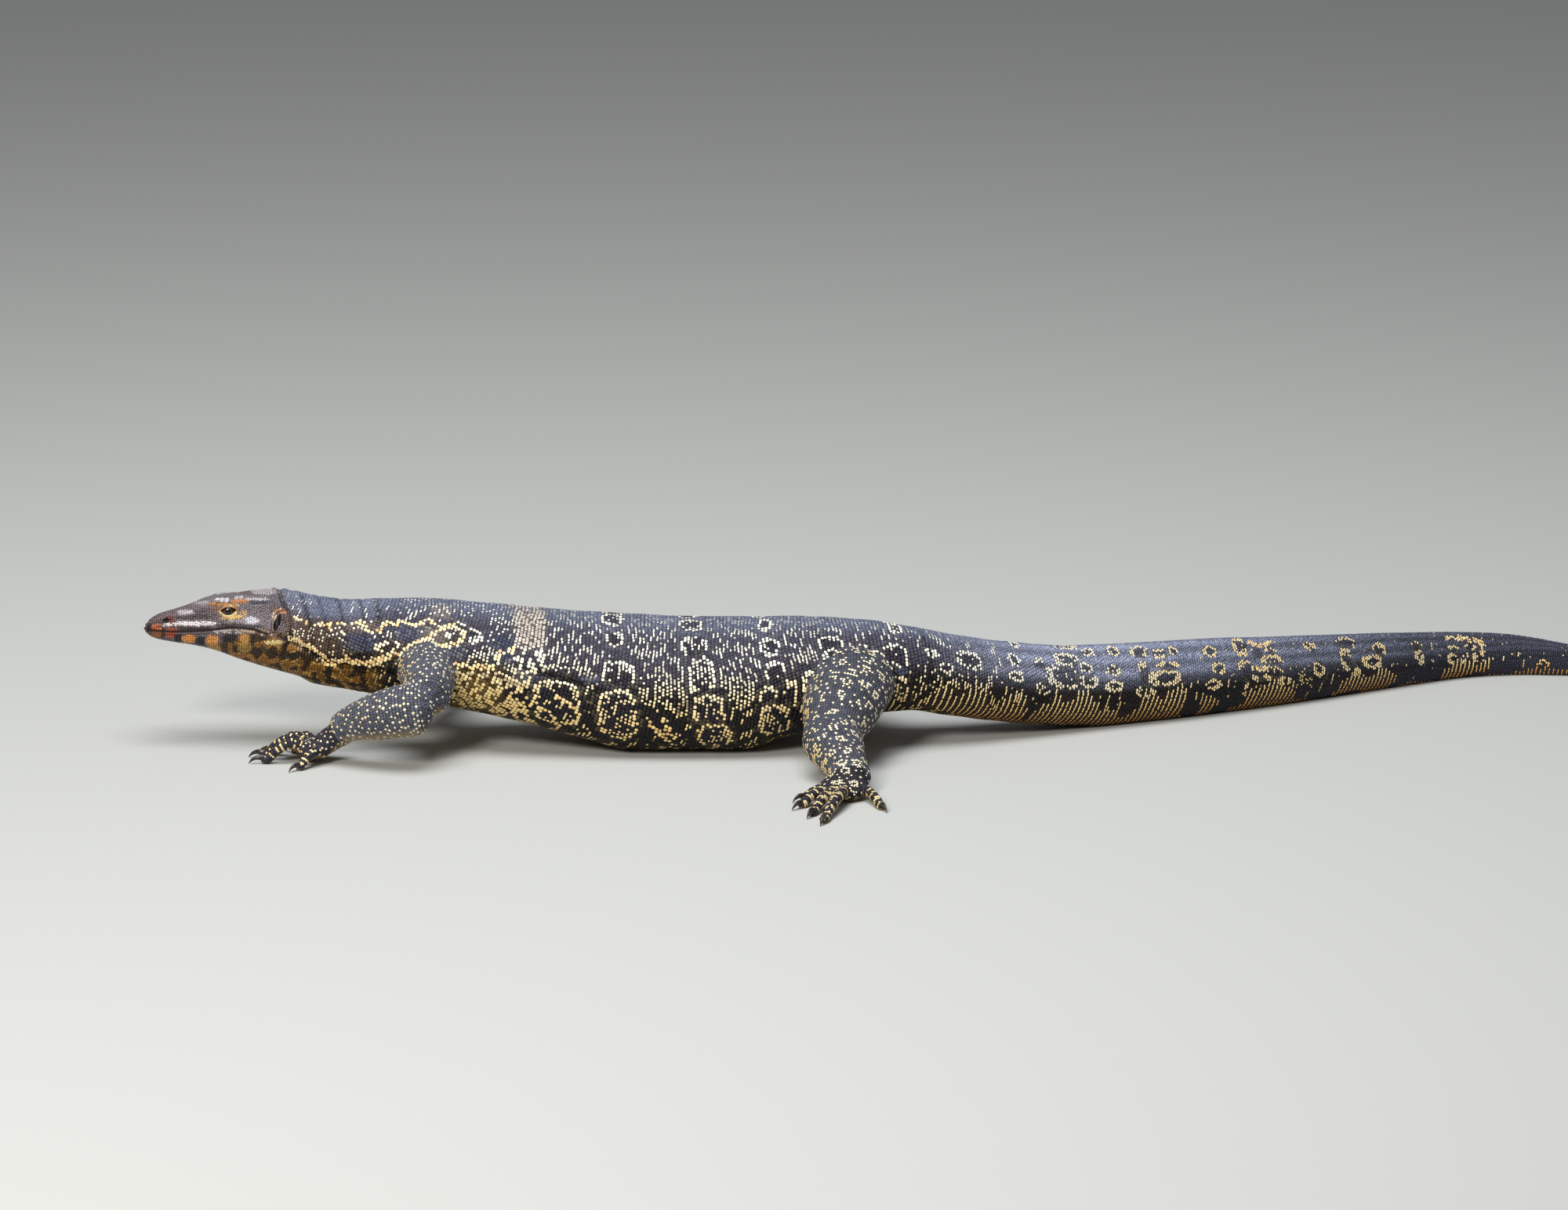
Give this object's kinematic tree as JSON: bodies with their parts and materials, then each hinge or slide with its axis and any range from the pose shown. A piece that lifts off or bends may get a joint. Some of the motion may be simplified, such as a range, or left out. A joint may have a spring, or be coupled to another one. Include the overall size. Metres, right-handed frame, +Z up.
{
  "type": "water monitor lizard",
  "caption": "Life-size water monitor lizard lying at rest on its belly, head raised, legs spread, long flattened tail curving away to one side.",
  "frame": {"origin": "middle of the flat that the belly rests on, level with the floor", "axes": "+X runs from the snout towards the tail, +Z up, and the animal's left side faces -Y"},
  "size_m": [1.5286, 0.5859, 0.1326],
  "materials": {
    "hide": "satin",
    "eye": "gloss",
    "claw": "satin"
  },
  "bodies": {
    "root": {"head": "hide", "neck": "hide", "torso": "hide", "tail_1": "hide", "tail_2": "hide", "tail_3": "hide", "tail_4": "hide", "left_upper_arm": "hide", "left_forearm": "hide", "left_forefoot": "hide", "right_upper_arm": "hide", "right_forearm": "hide", "right_forefoot": "hide", "left_thigh": "hide", "left_shank": "hide", "left_hindfoot": "hide", "right_thigh": "hide", "right_shank": "hide", "right_hindfoot": "hide", "eye_left": "eye", "eye_right": "eye"}
  },
  "joints": []
}
